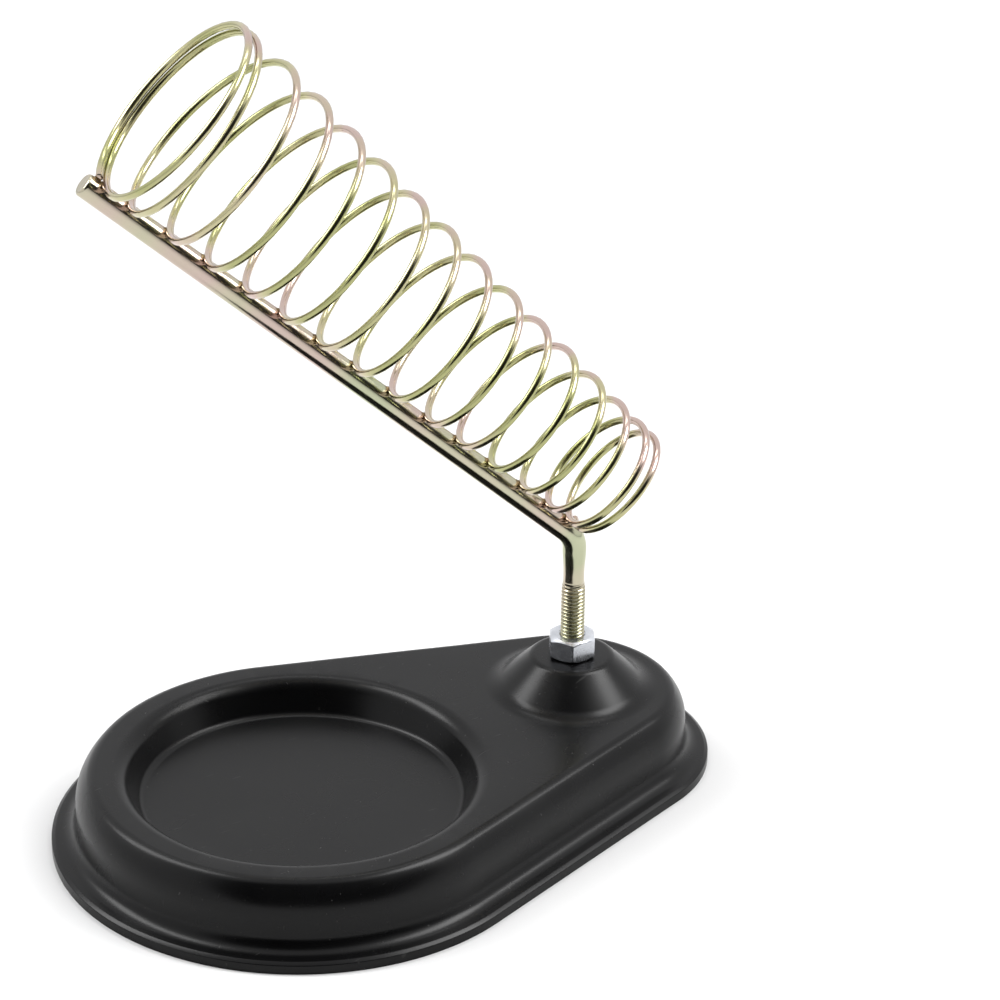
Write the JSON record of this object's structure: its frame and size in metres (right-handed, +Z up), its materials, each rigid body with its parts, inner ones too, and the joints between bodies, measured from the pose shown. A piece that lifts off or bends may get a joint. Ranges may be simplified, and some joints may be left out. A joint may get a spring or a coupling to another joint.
{
  "type": "soldering iron stand",
  "caption": "Bench stand for a soldering iron: a conical wire coil on a bent rod, bolted to the boss of a pressed teardrop base with a round tray.",
  "frame": {"origin": "on the surface the stand rests on, under the middle of the whole stand's bounding box", "axes": "+Z up, +X along the base from the boss to the tray, +Y to the left of +X"},
  "size_m": [0.174, 0.1218, 0.1994],
  "materials": {
    "black_enamel": "semi-gloss black baked enamel on pressed steel, softly mottled, with a few fine scratches",
    "yellow_zinc_rod": "yellow passivated zinc plating on steel bar, drifting between olive, pink and pale green",
    "yellow_zinc_wire": "yellow passivated zinc plating on drawn steel wire, olive green with pink stretches",
    "bright_zinc": "bright silver zinc plating"
  },
  "bodies": {
    "base": {"base_pan": "black_enamel"},
    "upper_nut": {"upper_nut": "bright_zinc"},
    "holder": {"support_rod": "yellow_zinc_rod", "iron_coil": "yellow_zinc_wire"},
    "lower_nut": {"lower_nut": "bright_zinc"}
  },
  "joints": [
    {"name": "holder_swivel", "type": "hinge", "parent": "base", "child": "upper_nut", "pos_m": [-0.0523, 0.00013, 0.0287], "axis": [0, 0, 1], "continuous": true},
    {"name": "height_adjust", "type": "slide", "parent": "upper_nut", "child": "holder", "axis": [0, 0, 1], "range_m": [-0.014, 0.003]},
    {"name": "lower_nut_run", "type": "slide", "parent": "upper_nut", "child": "lower_nut", "axis": [0, 0, 1], "range_m": [-0.009, 0]}
  ]
}
